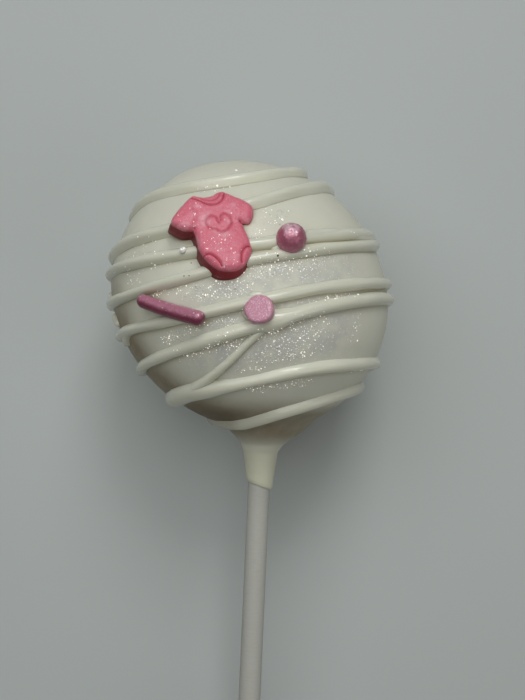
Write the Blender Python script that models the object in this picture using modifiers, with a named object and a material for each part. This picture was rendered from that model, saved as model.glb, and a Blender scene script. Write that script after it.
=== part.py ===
"""A cake pop lying on its back: a ball of cake dipped in white candy coating, with piped
drizzle, a pink candy bodysuit and three pink sprinkles, on a paper stick.

Run with: blender --background --python part.py

Units are metres and +Z is up. The origin is the middle of the small flat spot that the
ball rests on, with the stick running along -Y until its end touches the same surface.

The pop itself is laid out in millimetres in its own frame, whose origin is the middle of
the ball: X to the right, Y along the stick towards the crown, Z out of the decorated side.
Places on the ball are a bearing round the stick, from the decorated side towards the
right, and a latitude up from the middle, both in degrees.
"""

from math import asin, atan2, cos, hypot, pi, radians, sin

import bmesh
import bpy
import numpy as np
from mathutils import Matrix, Vector

MM = 0.001
TOUCH_GAP = 0.3             # between pieces that touch
WELD = 0.001

# The dipped ball is longer along one slanted line, as hand-rolled cake is
BALL_LONG = 22.1
BALL_SHORT = 20.1
BALL_DEEP = 21.05
BALL_SLANT = -31.7          # of the long line, seen from the decorated side
BALL_COLUMNS = 44
BALL_ROWS = 22

STICK_DIAMETER = 3.5
STICK_LENGTH = 150.0
STICK_X = 2.8               # the stick went in right of the middle
STICK_TIP_Y = -2.0          # top of the stick, inside the ball
STICK_SIDES = 24
STICK_EDGE = 0.15
BORE_CLEARANCE = 0.25
BORE_PAST_LIP = 4.0
BORE_SIDES = 20

# The coating that ran down the stick, as (radius, height) from the ball to the lip
FOOT_PROFILE = [
    (9.3, -16.3), (8.5, -17.6), (7.3, -18.8), (6.5, -20.0), (5.7, -21.0), (4.5, -22.0),
    (3.4, -23.0), (2.7, -24.3), (2.55, -26.0), (2.42, -27.8), (2.3, -29.2),
]
FOOT_SIDES = 28
FOOT_LEAN = 0.18            # shift to the right for each millimetre up from the neck
FOOT_NECK_Y = -24.3
LIP_SLANT = 0.33            # the lip is lower on its right side

STRAND_RADIUS = 0.95
STRAND_LIFT = 0.1           # the strand's centre line above the coating
STRAND_STEP = 12.0          # bearing between points along a strand
STRAND_TIP = (0.35, 0.72)   # radius of the last two points, as a share of the full one
STRAND_SWELL = 0.07         # how much the strand's radius wavers
BRANCH_RADII = (0.48, 1.0)  # a branch fattens towards its lower end

# Latitude of the drizzle where it passes each of these bearings. It was piped in one
# direction while the pop turned, so each row runs on into the next.
BEARINGS = (-90, -60, -30, 0, 30, 60, 90, 135, 180, 225)
UPPER_TURNS = [
    (29.0, 38.0, 43.0, 51.5, 61.5, 66.5, 69.0, 62.0, 46.0, 24.0),
    (10.0, 17.0, 22.7, 34.8, 47.0, 54.0, 54.5, 46.0, 33.0, 14.0),
    (3.5, 7.7, 11.3, 16.2, 21.9, 26.2, 27.3, 24.0, 19.5),
]
UPPER_START = [(-180, 62.0), (-135, 44.0)]
LOWER_TURNS = [
    (-7.0, -4.7, 1.3, 10.2, 16.7, 21.2, 23.9, 18.0, 6.5, -11.0),
    (-23.0, -17.9, -13.2, -5.7, 1.5, 5.4, 6.8, 2.5, -7.6, -27.0),
    (-39.0, -33.4, -25.6, -15.5, -5.8, -0.6, -0.2, -9.0, -26.0, -46.0),
    (-58.5, -54.6, -48.0, -38.8, -30.1, -26.8, -26.5, -36.0, -53.0, -69.0),
    (-76.0, -76.0, -74.5, -70.0, -53.4, -41.5, -37.5, -45.0, -59.0),
]
LOWER_START = [(-160, 5.0), (-125, -6.0)]
FRONT_BRANCH = [(5, -16.5), (1.6, -20.4), (-5, -27.7), (-11, -33.0), (-18, -38.4), (-27, -43.2),
                (-38, -46.8), (-52, -50.2), (-68, -52.6), (-84, -54.3), (-96, -56.0)]
BACK_BRANCH = [(128, 52.0), (138, 45.5), (150, 38.0), (162, 31.5), (174, 26.0), (186, 21.0),
               (196, 16.0)]

# Sprinkles, fused to the coating
PEARL_RADIUS = 2.1
PEARL_SPOT = (15.7, 18.7)
PEARL_LIFT = 1.25
DISC_RADIUS = 2.0
DISC_THICKNESS = 1.4
DISC_EDGE = 0.38
DISC_SPOT = (4.6, -7.8)
DISC_LIFT = 1.15
DISC_TILT = 31.0            # its upper edge stands on a strand
ROD_RADIUS = 1.05
ROD_ENDS = ((-42.2, -5.5), (-16.3, -11.7))
ROD_LIFT = 1.45
ROD_NOSE = 0.3              # the rounded end past the full width

# The candy bodysuit: half of its outline, from the neck to the crotch, as (x, y)
SUIT_HALF = [
    (0.0, 5.50), (1.1, 5.65), (2.0, 6.15), (2.6, 6.20), (4.4, 5.10), (5.75, 3.55), (5.85, 2.6),
    (5.45, 1.65), (4.9, 1.05), (4.1, 1.0), (3.5, 0.85), (3.45, -0.4), (3.65, -2.2), (3.5, -4.0),
    (2.7, -5.35), (1.5, -6.0), (0.0, -6.15),
]
SUIT_THICKNESS = 2.6
SUIT_DRAFT = 1.06           # the back is this much larger than the face
SUIT_EDGE = 0.45
SUIT_FACE = (-4.55, 7.60, 21.10)
SUIT_NORMAL = (0.08, 0.41, 0.91)
SUIT_TURN = 13.5            # anticlockwise, in degrees
GROOVE_RADIUS = 0.28
HEART_SIZE = (1.9, 1.52)
HEART_CENTRE = (0.45, 0.85)

FLAT_DEPTH = 0.70           # how far the strands that it rests on are flattened
PLATE_SIZE = 60.0

# The pop is tipped back until the lower edge of the stick's end is level with the flat spot
LIE_HEIGHT = BALL_DEEP + STRAND_LIFT + STRAND_RADIUS - FLAT_DEPTH
REACH = STICK_LENGTH - STICK_TIP_Y - STICK_EDGE
HALF_STICK = STICK_DIAMETER / 2 * cos(pi / STICK_SIDES)
LIE_ANGLE = asin(LIE_HEIGHT / hypot(REACH, HALF_STICK)) - atan2(HALF_STICK, REACH)


def clear_scene():
    """Remove whatever the scene holds."""
    for old in list(bpy.data.objects):
        bpy.data.objects.remove(old, do_unlink=True)


def make_collection(name):
    """A new collection, linked to the scene."""
    collection = bpy.data.collections.new(name)
    bpy.context.scene.collection.children.link(collection)
    return collection


def make_material(name, colour, roughness):
    """A plain Principled material that isn't metallic."""
    material = bpy.data.materials.new(name)
    material.use_nodes = True
    shader = material.node_tree.nodes["Principled BSDF"]
    shader.inputs["Base Color"].default_value = (*colour, 1.0)
    shader.inputs["Roughness"].default_value = roughness
    shader.inputs["Metallic"].default_value = 0.0
    return material


def make_pop_frame(collection):
    """An empty that carries the pop's own frame, tipped until the stick's end touches."""
    frame = bpy.data.objects.new("pop_frame", None)
    frame.location = (0.0, 0.0, LIE_HEIGHT * MM)
    frame.rotation_euler = (LIE_ANGLE, 0.0, 0.0)
    frame.scale = (MM, MM, MM)
    collection.objects.link(frame)
    return frame


def add_object(name, data, collection, frame, place=None, material=None):
    """Put new data in the pop's frame, or in the world where frame is None."""
    obj = bpy.data.objects.new(name, data)
    collection.objects.link(obj)
    obj.parent = frame
    if place is not None:
        obj.matrix_basis = place
    if material is not None:
        data.materials.append(material)
    return obj


def as_mesh(curve_object):
    """Replace a curve object by a mesh object of the same shape, its caps welded."""
    bpy.context.view_layer.update()
    graph = bpy.context.evaluated_depsgraph_get()
    mesh = bpy.data.meshes.new_from_object(curve_object.evaluated_get(graph))
    work = bmesh.new()
    work.from_mesh(mesh)
    bmesh.ops.remove_doubles(work, verts=work.verts, dist=WELD)
    bmesh.ops.recalc_face_normals(work, faces=work.faces)
    work.to_mesh(mesh)
    work.free()
    name = curve_object.name
    solid = bpy.data.objects.new(name + "_solid", mesh)
    curve_object.users_collection[0].objects.link(solid)
    solid.parent = curve_object.parent
    solid.matrix_basis = curve_object.matrix_basis
    bpy.data.objects.remove(curve_object, do_unlink=True)
    solid.name = name
    return solid


def boolean(target, operation, obj=None, collection=None):
    """Add an exact Boolean with one object or with a whole collection."""
    modifier = target.modifiers.new(operation.lower(), "BOOLEAN")
    modifier.operation = operation
    modifier.solver = "EXACT"
    if collection is not None:
        modifier.operand_type = "COLLECTION"
        modifier.collection = collection
    else:
        modifier.object = obj
    return modifier


def apply_modifiers(obj):
    """Bake an object's modifiers into its mesh."""
    bpy.context.view_layer.update()
    graph = bpy.context.evaluated_depsgraph_get()
    mesh = bpy.data.meshes.new_from_object(obj.evaluated_get(graph))
    obj.modifiers.clear()
    obj.data = mesh


def as_cutter(obj):
    """Mark an object as a cutter, which isn't part of the model."""
    obj.hide_render = True
    obj.display_type = "WIRE"


def direction(bearing, latitude):
    """The unit vector towards a place on the ball."""
    a, b = radians(bearing), radians(latitude)
    return Vector((cos(b) * sin(a), sin(b), cos(b) * cos(a)))


def ball_radius(way):
    """Distance from the ball's middle to its coating, along a unit vector."""
    slant = radians(BALL_SLANT)
    along = way.x * cos(slant) + way.y * sin(slant)
    across = way.y * cos(slant) - way.x * sin(slant)
    return ((along / BALL_LONG) ** 2 + (across / BALL_SHORT) ** 2 + (way.z / BALL_DEEP) ** 2) ** -0.5


def on_ball(bearing, latitude, lift=0.0):
    """The point at a bearing and latitude, lifted off the coating."""
    way = direction(bearing, latitude)
    return way * (ball_radius(way) + lift)


def build_ball(collection, frame, material):
    """The bare ball, its poles on the line of the stick."""
    mesh = bpy.data.meshes.new("coated_ball")
    work = bmesh.new()
    bmesh.ops.create_uvsphere(work, u_segments=BALL_COLUMNS, v_segments=BALL_ROWS, radius=1.0)
    for vert in work.verts:
        way = Vector((vert.co.x, vert.co.z, -vert.co.y)).normalized()
        vert.co = way * ball_radius(way)
    work.to_mesh(mesh)
    work.free()
    return add_object("coated_ball", mesh, collection, frame, material=material)


def smooth_route(points, step):
    """Points every step of bearing on a smooth curve through (bearing, latitude) pairs."""
    known = np.array(points, dtype=float)
    slopes = np.gradient(known[:, 1], known[:, 0])
    count = int(round((known[-1, 0] - known[0, 0]) / step)) + 1
    bearings = np.linspace(known[0, 0], known[-1, 0], count)
    route = []
    for bearing in bearings:
        i = min(int(np.searchsorted(known[:, 0], bearing, side="right")) - 1, len(known) - 2)
        width = known[i + 1, 0] - known[i, 0]
        t = (bearing - known[i, 0]) / width
        latitude = (
            (2 * t ** 3 - 3 * t ** 2 + 1) * known[i, 1]
            + (t ** 3 - 2 * t ** 2 + t) * width * slopes[i]
            + (3 * t ** 2 - 2 * t ** 3) * known[i + 1, 1]
            + (t ** 3 - t ** 2) * width * slopes[i + 1]
        )
        route.append((bearing, latitude))
    return route


def squeeze(start, turns):
    """The (bearing, latitude) pairs of one squeeze of the piping bag, turn after turn."""
    points = list(start)
    for i, row in enumerate(turns):
        points += [(360 * i + bearing, latitude) for bearing, latitude in zip(BEARINGS, row)]
    return points


def wavering(count):
    """Shares of a strand's radius, which swells and thins as piped coating does."""
    return [1.0 + STRAND_SWELL * (sin(0.9 * i) + 0.6 * sin(2.3 * i + 1.0)) for i in range(count)]


def make_tube(name, points, radius, collection, frame, tip=STRAND_TIP, shares=None):
    """A round tube through the points, its two ends drawn in."""
    curve = bpy.data.curves.new(name, "CURVE")
    curve.dimensions = "3D"
    curve.bevel_depth = radius
    curve.bevel_resolution = 2
    curve.render_resolution_u = 0
    curve.use_fill_caps = True
    spline = curve.splines.new("POLY")
    spline.points.add(len(points) - 1)
    shares = shares or [1.0] * len(points)
    drawn = list(tip) + [1.0] * (len(points) - 2 * len(tip)) + list(reversed(tip))
    for point, place, share, end in zip(spline.points, points, shares, drawn):
        point.co = (*place, 1.0)
        point.radius = share * end
    return as_mesh(add_object(name, curve, collection, frame))


def build_drizzle(collection, frame):
    """Two long squeezes of piped coating round the ball, and two thin branches across turns."""
    for name, start, turns in (
        ("upper_drizzle", UPPER_START, UPPER_TURNS),
        ("lower_drizzle", LOWER_START, LOWER_TURNS),
    ):
        route = smooth_route(squeeze(start, turns), STRAND_STEP)
        points = [on_ball(bearing, latitude, STRAND_LIFT) for bearing, latitude in route]
        make_tube(name, points, STRAND_RADIUS, collection, frame, shares=wavering(len(points)))
    for name, branch in (("front_branch", FRONT_BRANCH), ("back_branch", BACK_BRANCH)):
        points = [on_ball(bearing, latitude, STRAND_LIFT) for bearing, latitude in branch]
        shares = list(np.linspace(*BRANCH_RADII, len(points)))
        make_tube(name, points, 1.0, collection, frame, tip=(0.7,), shares=shares)


def build_foot(collection, frame):
    """The funnel of coating under the ball, turned round the stick and then leaned."""
    mesh = bpy.data.meshes.new("foot")
    outline = [(0.0, FOOT_PROFILE[0][1])] + FOOT_PROFILE + [(0.0, FOOT_PROFILE[-1][1])]
    mesh.from_pydata([(r, 0.0, y) for r, y in outline],
                     [(i, i + 1) for i in range(len(outline) - 1)], [])
    upright = Matrix.Translation((STICK_X, 0.0, 0.0)) @ Matrix.Rotation(-pi / 2, 4, "X")
    foot = add_object("foot", mesh, collection, frame, place=upright)
    turn = foot.modifiers.new("turn", "SCREW")
    turn.steps = turn.render_steps = FOOT_SIDES
    turn.use_merge_vertices = True
    turn.merge_threshold = 0.0001
    apply_modifiers(foot)
    for vert in foot.data.vertices:
        above = max(0.0, vert.co.z - FOOT_NECK_Y)
        below = min(1.0, max(0.0, (FOOT_NECK_Y - vert.co.z) / (FOOT_NECK_Y - FOOT_PROFILE[-1][1])))
        vert.co.z -= below * LIP_SLANT * vert.co.x
        vert.co.x += above * FOOT_LEAN
    return foot


def facing(spot, lift):
    """A place on the ball whose Z looks straight out of the coating."""
    way = direction(*spot)
    return Matrix.Translation(on_ball(*spot, lift)) @ way.to_track_quat("Z", "Y").to_matrix().to_4x4()


def build_sprinkles(collection, frame):
    """A pearl, a flat disc and a rod, each sunk a little into the drizzle."""
    pearl = bpy.data.meshes.new("pearl")
    work = bmesh.new()
    bmesh.ops.create_uvsphere(work, u_segments=16, v_segments=10, radius=PEARL_RADIUS)
    work.to_mesh(pearl)
    work.free()
    add_object("pearl", pearl, collection, frame, place=facing(PEARL_SPOT, PEARL_LIFT))

    disc = bpy.data.meshes.new("disc")
    work = bmesh.new()
    bmesh.ops.create_cone(work, cap_ends=True, segments=20, radius1=DISC_RADIUS,
                          radius2=DISC_RADIUS, depth=DISC_THICKNESS)
    work.to_mesh(disc)
    work.free()
    tilted = facing(DISC_SPOT, DISC_LIFT) @ Matrix.Rotation(radians(-DISC_TILT), 4, "X")
    disc_object = add_object("disc", disc, collection, frame, place=tilted)
    round_edges(disc_object, DISC_EDGE, 2)
    apply_modifiers(disc_object)

    ends = [on_ball(*spot, ROD_LIFT) for spot in ROD_ENDS]
    along = (ends[1] - ends[0]).normalized()
    tips = [ends[0] - along * ROD_NOSE, ends[0], ends[1], ends[1] + along * ROD_NOSE]
    make_tube("rod", tips, ROD_RADIUS, collection, frame, tip=(0.6,))


def round_edges(obj, width, segments):
    """Round the sharp edges of an object with a Bevel."""
    bevel = obj.modifiers.new("rounded", "BEVEL")
    bevel.width = width
    bevel.segments = segments
    bevel.limit_method = "ANGLE"
    bevel.angle_limit = radians(40)


def suit_outline():
    """The bodysuit's whole outline, anticlockwise, from its half."""
    mirrored = [(-x, y) for x, y in SUIT_HALF[1:-1]]
    return mirrored + list(reversed(SUIT_HALF))


def suit_place():
    """The bodysuit's frame: its face up, its neck towards +Y."""
    normal = Vector(SUIT_NORMAL).normalized()
    up = (Vector((0, 1, 0)) - normal * normal.y).normalized()
    right = up.cross(normal)
    axes = Matrix((right, up, normal)).transposed().to_4x4()
    return Matrix.Translation(SUIT_FACE) @ axes @ Matrix.Rotation(radians(SUIT_TURN), 4, "Z")


def make_suit_slab(name, grow, collection, frame, material=None):
    """The bodysuit without its relief, its edges rounded, larger by grow all round."""
    curve = bpy.data.curves.new(name, "CURVE")
    curve.dimensions = "2D"
    curve.fill_mode = "BOTH"
    curve.extrude = SUIT_THICKNESS / 2 + grow - SUIT_EDGE
    curve.offset = grow - SUIT_EDGE
    curve.bevel_depth = SUIT_EDGE
    curve.bevel_resolution = 1
    curve.resolution_u = 2
    curve.render_resolution_u = 0
    outline = suit_outline()
    spline = curve.splines.new("BEZIER")
    spline.bezier_points.add(len(outline) - 1)
    spline.use_cyclic_u = True
    for point, (x, y) in zip(spline.bezier_points, outline):
        point.co = (x, y, 0.0)
        point.handle_left_type = point.handle_right_type = "AUTO"
    middle = Matrix.Translation((0.0, 0.0, -SUIT_THICKNESS / 2))
    slab = as_mesh(add_object(name, curve, collection, frame, place=suit_place() @ middle))
    for vert in slab.data.vertices:
        if vert.co.z < 0.0:
            vert.co.x *= SUIT_DRAFT
            vert.co.y *= SUIT_DRAFT
    if material is not None:
        slab.data.materials.clear()
        slab.data.materials.append(material)
    return slab


def heart_point(turn):
    """A point of the heart on the bodysuit's chest, turn going from 0 to 2 pi."""
    x = sin(turn) ** 3
    y = (13 * cos(turn) - 5 * cos(2 * turn) - 2 * cos(3 * turn) - cos(4 * turn)) / 16
    return (HEART_CENTRE[0] + HEART_SIZE[0] * x, HEART_CENTRE[1] + HEART_SIZE[1] * y)


def arc(centre, radii, start, end, count):
    """Points on part of an ellipse, with its start and end in degrees."""
    turns = np.radians(np.linspace(start, end, count))
    return [(centre[0] + radii[0] * cos(t), centre[1] + radii[1] * sin(t)) for t in turns]


def build_suit(parts, cutters, frame, material):
    """The candy bodysuit, with its collar, heart and leg openings pressed into the face."""
    suit = make_suit_slab("candy_bodysuit", 0.0, parts, frame, material)
    grooves = {
        "collar_groove": arc((0.0, 6.35), (2.25, 2.05), 200, 340, 9),
        "left_leg_groove": arc((-3.3, -5.4), (2.9, 2.2), 15, 110, 8),
        "right_leg_groove": arc((3.3, -5.4), (2.9, 2.2), 165, 70, 8),
        "heart_groove": [heart_point(t) for t in np.linspace(0.25, 2 * pi - 0.25, 20)],
    }
    pressed = make_collection("pressed_grooves")
    for name, points in grooves.items():
        groove = make_tube(name, [(x, y, 0.0) for x, y in points], GROOVE_RADIUS, pressed, frame,
                           tip=(0.6,))
        groove.matrix_basis = suit_place()
    boolean(suit, "DIFFERENCE", collection=pressed)
    apply_modifiers(suit)
    for groove in list(pressed.objects):
        bpy.data.objects.remove(groove, do_unlink=True)

    pocket = make_suit_slab("bodysuit_pocket", TOUCH_GAP, cutters, frame)
    as_cutter(pocket)
    return suit, pocket


def build_stick(collection, frame, material):
    """The rolled paper stick, from inside the ball down to the surface."""
    mesh = bpy.data.meshes.new("paper_stick")
    work = bmesh.new()
    bmesh.ops.create_cone(work, cap_ends=True, segments=STICK_SIDES, radius1=STICK_DIAMETER / 2,
                          radius2=STICK_DIAMETER / 2, depth=STICK_LENGTH)
    work.to_mesh(mesh)
    work.free()
    middle = Matrix.Translation((STICK_X, STICK_TIP_Y - STICK_LENGTH / 2, 0.0))
    lengthways = Matrix.Rotation(-pi / 2, 4, "X") @ Matrix.Rotation(pi / STICK_SIDES, 4, "Z")
    stick = add_object("paper_stick", mesh, collection, frame, place=middle @ lengthways,
                       material=material)
    round_edges(stick, STICK_EDGE, 1)
    return stick


def build_bore(collection, frame):
    """The blind hole that the stick sits in."""
    top = STICK_TIP_Y + TOUCH_GAP
    bottom = FOOT_PROFILE[-1][1] - BORE_PAST_LIP
    radius = STICK_DIAMETER / 2 + BORE_CLEARANCE
    mesh = bpy.data.meshes.new("bore")
    work = bmesh.new()
    bmesh.ops.create_cone(work, cap_ends=True, segments=BORE_SIDES, radius1=radius, radius2=radius,
                          depth=top - bottom)
    work.to_mesh(mesh)
    work.free()
    middle = Matrix.Translation((STICK_X, (top + bottom) / 2, 0.0))
    bore = add_object("bore", mesh, collection, frame, place=middle @ Matrix.Rotation(pi / 2, 4, "X"))
    as_cutter(bore)
    return bore


def build_plate(collection):
    """A block below the surface, which flattens the strands that the ball rests on."""
    mesh = bpy.data.meshes.new("plate")
    work = bmesh.new()
    bmesh.ops.create_cube(work, size=PLATE_SIZE * MM)
    work.to_mesh(mesh)
    work.free()
    middle = Matrix.Translation((0.0, 0.0, -PLATE_SIZE * MM / 2))
    plate = add_object("plate", mesh, collection, None, place=middle)
    as_cutter(plate)
    return plate


def main():
    clear_scene()
    parts = make_collection("cake_pop")
    cutters = make_collection("cutters")
    toppings = make_collection("fused_toppings")
    coating = make_material("white_candy_coating", (0.72, 0.72, 0.63), 0.3)
    candy = make_material("pink_candy", (0.72, 0.14, 0.21), 0.45)
    paper = make_material("white_paper", (0.75, 0.75, 0.72), 0.75)
    frame = make_pop_frame(parts)

    ball = build_ball(parts, frame, coating)
    build_foot(toppings, frame)
    build_drizzle(toppings, frame)
    build_sprinkles(toppings, frame)
    boolean(ball, "UNION", collection=toppings)
    apply_modifiers(ball)
    for topping in list(toppings.objects):
        bpy.data.objects.remove(topping, do_unlink=True)
    bpy.data.collections.remove(toppings)

    pocket = build_suit(parts, cutters, frame, candy)[1]
    build_stick(parts, frame, paper)
    for cutter in (build_bore(cutters, frame), pocket, build_plate(cutters)):
        boolean(ball, "DIFFERENCE", obj=cutter)


main()
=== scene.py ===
"""The looks of a cake pop that lies on its back: a dipped ball with piped drizzle, a candy
bodysuit, three sprinkles and silver glitter, on a rolled paper stick.

Lengths are millimetres in the pop's own frame, whose origin is the middle of the ball: X to
the right, Y along the stick towards the crown, Z out of the decorated side. A spot on the
ball is a bearing round the stick, from the decorated side towards the right, and a latitude
up from the middle, both in degrees.
"""

from math import asin, atan2, cos, hypot, pi, radians, sin

import bmesh
import bpy
import numpy as np
from mathutils import Matrix, Vector, noise
from mathutils.bvhtree import BVHTree
from mathutils.geometry import delaunay_2d_cdt


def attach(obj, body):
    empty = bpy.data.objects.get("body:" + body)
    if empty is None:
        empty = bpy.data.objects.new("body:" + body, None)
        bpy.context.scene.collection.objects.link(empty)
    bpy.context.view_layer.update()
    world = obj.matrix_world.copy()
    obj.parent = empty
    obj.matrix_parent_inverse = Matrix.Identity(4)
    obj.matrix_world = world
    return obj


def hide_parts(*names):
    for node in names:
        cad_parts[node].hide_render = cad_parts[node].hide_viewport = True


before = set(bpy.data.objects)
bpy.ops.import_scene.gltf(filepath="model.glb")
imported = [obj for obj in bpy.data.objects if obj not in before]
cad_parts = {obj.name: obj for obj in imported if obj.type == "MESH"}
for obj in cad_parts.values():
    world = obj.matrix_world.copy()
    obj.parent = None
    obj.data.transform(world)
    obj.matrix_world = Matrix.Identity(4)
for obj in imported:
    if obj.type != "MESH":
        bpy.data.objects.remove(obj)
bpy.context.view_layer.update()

MM = 0.001

# The dipped ball
BALL_LONG = 22.1
BALL_SHORT = 20.1
BALL_DEEP = 21.05
BALL_SLANT = -31.7
UNEVEN = ((0.10, 7.0), (0.03, 2.2))     # heights and widths of the coating's unevenness
FLAT_SIDE = ((-90, 34), 21.0, 0.55)     # where the ball is a little flatter: spot, width, depth

# The stick and the coating that ran down it
STICK_DIAMETER = 3.5
STICK_LENGTH = 150.0
STICK_X = 2.8
STICK_TIP_Y = -2.0
STICK_SIDES = 24
STICK_EDGE = 0.15
FOOT_PROFILE = [
    (9.3, -16.3), (8.5, -17.6), (7.3, -18.8), (6.5, -20.0), (5.7, -21.0), (4.5, -22.0),
    (3.35, -23.0), (2.66, -24.3), (2.42, -26.0), (2.17, -27.8), (2.03, -29.2),
]
FOOT_TOP_Y = -12.6              # where the ball starts to draw in to the foot
SHOULDER_Y = FOOT_PROFILE[0][1]
LIP_Y = FOOT_PROFILE[-1][1]
FOOT_LEAN = 0.18
FOOT_NECK_Y = -24.3
LIP_SLANT = 0.33
LIP_ROUND = [(2.0, -29.3), (1.94, -29.42), (1.86, -29.5), (1.76, -29.54), (1.66, -29.54)]

# The drizzle: latitudes at these bearings, row after row
STRAND_HALF_WIDTH = 0.95
STRAND_HEIGHT = 1.05
STRAND_DEPTH = 0.35
STRAND_STEP = 0.4
STRAND_WAVERS = (               # of its width, its height and its lean: share, seed, length
    (0.07, 0, 5.0), (0.08, 9, 5.0), (0.10, 17, 8.0),
)
STRAND_ROWS = 19                # of points over its back
STRAND_FOOT = ((-0.9, 1.0), (0.0, 1.15), (0.9, 1.0))    # shares of half its width and its depth
EDGE_SINK = 0.15                # how far a strand's edges dip below the ball's form
EDGE_SLOPE = 0.25               # of the line above which the edges of the strands run together
EDGE_SPREADS = ((0.14, 0.46, 4, 34), (0.10, 0.34, 8, 38))   # least, added, latitudes between
LEFT_SINK = (0.2, (50, 85), (6, 22))    # share lost at the upper left, bearings, latitudes
TALL_SHARE = 0.45               # how much of a strand's added width its height takes up
CRISP = (0.2, 0.2)              # how far the edges of branches and short runs spread
ROUTE_STEP = 0.5
BEARINGS = (-90, -60, -30, 0, 30, 60, 90, 135, 180, 225)
UPPER_TURNS = [
    (31.0, 38.0, 43.0, 51.5, 61.5, 66.5, 69.0, 62.0, 46.0, 24.0),
    (12.2, 17.0, 22.7, 34.8, 47.0, 54.0, 54.5, 46.0, 33.0, 14.0),
    (5.0, 7.7, 11.3, 16.2, 21.9, 26.2, 27.3, 24.0, 19.5),
]
UPPER_START = [(-180, 62.0), (-135, 44.0)]
LOWER_TURNS = [
    (-6.6, -4.7, 1.3, 10.2, 16.7, 21.2, 23.9, 18.0, 6.5, -11.0),
    (-20.8, -17.9, -13.2, -5.7, 1.5, 5.4, 6.8, 2.5, -7.6, -27.0),
    (-38.0, -33.4, -25.6, -15.5, -5.8, -0.6, -0.2, -9.0, -26.0, -46.0),
    (-56.5, -53.6, -46.6, -38.8, -30.1, -26.8, -26.5, -36.0, -53.0, -69.0),
    (-76.0, -76.0, -74.5, -70.0, -53.4, -41.5, -37.5, -45.0, -59.0),
]
LOWER_START = [(-160, 5.0), (-125, -6.0)]
THICK_AT = (-180, -90, -50, 0, 50, 90, 180)     # bearings of the shares of thickness below
UPPER_THICK = [
    (1.0, 1.0, 1.0, 0.95, 0.95, 0.9, 1.0),
    (1.0, 0.9, 0.95, 0.95, 0.95, 0.95, 1.0),
    (1.0, 0.85, 0.85, 0.9, 1.0, 1.0, 1.0),
]
LOWER_THICK = [
    (1.0, 0.9, 0.85, 0.9, 0.92, 0.92, 1.0),
    (1.0, 0.95, 0.82, 0.9, 0.9, 0.9, 1.0),
    (1.0, 0.75, 0.85, 1.08, 1.0, 0.95, 1.0),
    (1.0, 1.2, 1.6, 0.95, 1.0, 0.95, 1.0),
    (1.0, 0.6, 0.55, 1.1, 1.1, 1.05, 1.0),
]
SWELLS = [                      # a turn of the lower squeeze, bearing, spread, added share
    (2, 10.5, 5.5, 0.5), (3, -24, 12, 0.25),
]
FRONT_BRANCH = [(8.5, -13.5), (5.2, -17.0), (1.6, -20.4), (-0.4, -22.7), (-5.3, -28.0),
                (-11, -33.0), (-17, -37.8), (-25, -42.6), (-33, -46.2), (-42, -49.0)]
FRONT_WIDTHS = [0.6, 0.58, 0.56, 0.64, 0.85, 0.8]
FRONT_HEIGHTS = [0.6, 0.6, 0.6, 0.7, 0.95, 1.0]
BACK_BRANCH = [(128, 52.0), (138, 45.5), (150, 38.0), (162, 31.5), (174, 26.0), (186, 21.0),
               (196, 16.0)]
RUNS = [                        # short runs of coating: route, widths and heights
    ([(-84, -2), (-80, -4), (-77, -6.5)], [0.5], [0.55]),
    ([(-80, -10.5), (-77, -13.5), (-75, -16.5)], [0.55], [0.6]),
    ([(-60, -17.9), (-66, -20.0), (-70.0, -22.5), (-71.0, -24.8)], [0.7, 0.8, 0.75], [0.8]),
    ([(-64, -34.5), (-72, -36.9), (-81.6, -38.4), (-81.2, -39.4)], [0.6, 0.6, 0.55], [0.7]),
    ([(22, 21.2), (35, 23.2), (50, 24.8), (65, 25.9), (80, 26.3)], [1.0], [0.9]),
]
POOL_ROWS = (0.05, 0.2, 0.35, 0.5, 0.62, 0.74, 0.84, 0.92, 0.97, 1.0)
POOL_FOOT = (0.9, 0.4)
POOL_SIDES = 40
POOLS = [                       # where coating gathered: spot, half sizes, height, turn, seed
    ((4.7, -7.3), (2.4, 2.3), 0.6, 0.1, 1.0), ((15.1, 17.6), (2.7, 2.2), 0.8, 0.0, 3.0),
]

# Sprinkles, whose dimples are depths, widths and seeds
SPRINKLE_SIDES = 72
PEARL_RADIUS = 2.1
PEARL_SPOT = (15.7, 18.7)
PEARL_LIFT = 1.25
PEARL_DIMPLES = [(0.10, 1.4, 5.0), (0.035, 0.35, 8.0)]
DISC_RADIUS = 2.02
DISC_THICKNESS = 1.4
DISC_EDGE = 0.42
DISC_DIMPLES = [(0.12, 1.5, 2.0), (0.05, 0.22, 4.0)]
DISC_SPOT = (4.6, -7.8)
DISC_LIFT = 1.15
DISC_TILT = 31.0
ROD_RADIUS = 1.08
ROD_ENDS = ((-42.2, -5.5), (-16.3, -11.7))
ROD_LIFT = 1.45
ROD_BEND = -0.2
ROD_PAST = 0.04
ROD_CAP = 1.0
ROD_SIDES = 40
ROD_ROWS = (60, 12)             # of points along it and over each end
ROD_TAPER = 0.1
ROD_UNEVEN = ((0.05, 1.1), (0.02, 0.3))

# The candy bodysuit
SUIT_FACE = (-4.55, 7.60, 21.10)
SUIT_NORMAL = (0.08, 0.41, 0.91)
SUIT_TURN = 13.5
SUIT_THICKNESS = 3.3

# How the pop lies: on its back and on the end of its stick
FLAT_DEPTH = 0.70
STRAND_LIFT = 0.1
LIE_HEIGHT = BALL_DEEP + STRAND_LIFT + STRAND_HALF_WIDTH - FLAT_DEPTH
REACH = STICK_LENGTH - STICK_TIP_Y - STICK_EDGE
HALF_STICK = STICK_DIAMETER / 2 * cos(pi / STICK_SIDES)
LIE_ANGLE = asin(LIE_HEIGHT / hypot(REACH, HALF_STICK)) - atan2(HALF_STICK, REACH)

# The camera, in the pop's frame
CAMERA_PLACE = (2.41, -8.45, 164.75)
CAMERA_ROLL = 2.53
CAMERA_LENS = 54.1


# Placing

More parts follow.
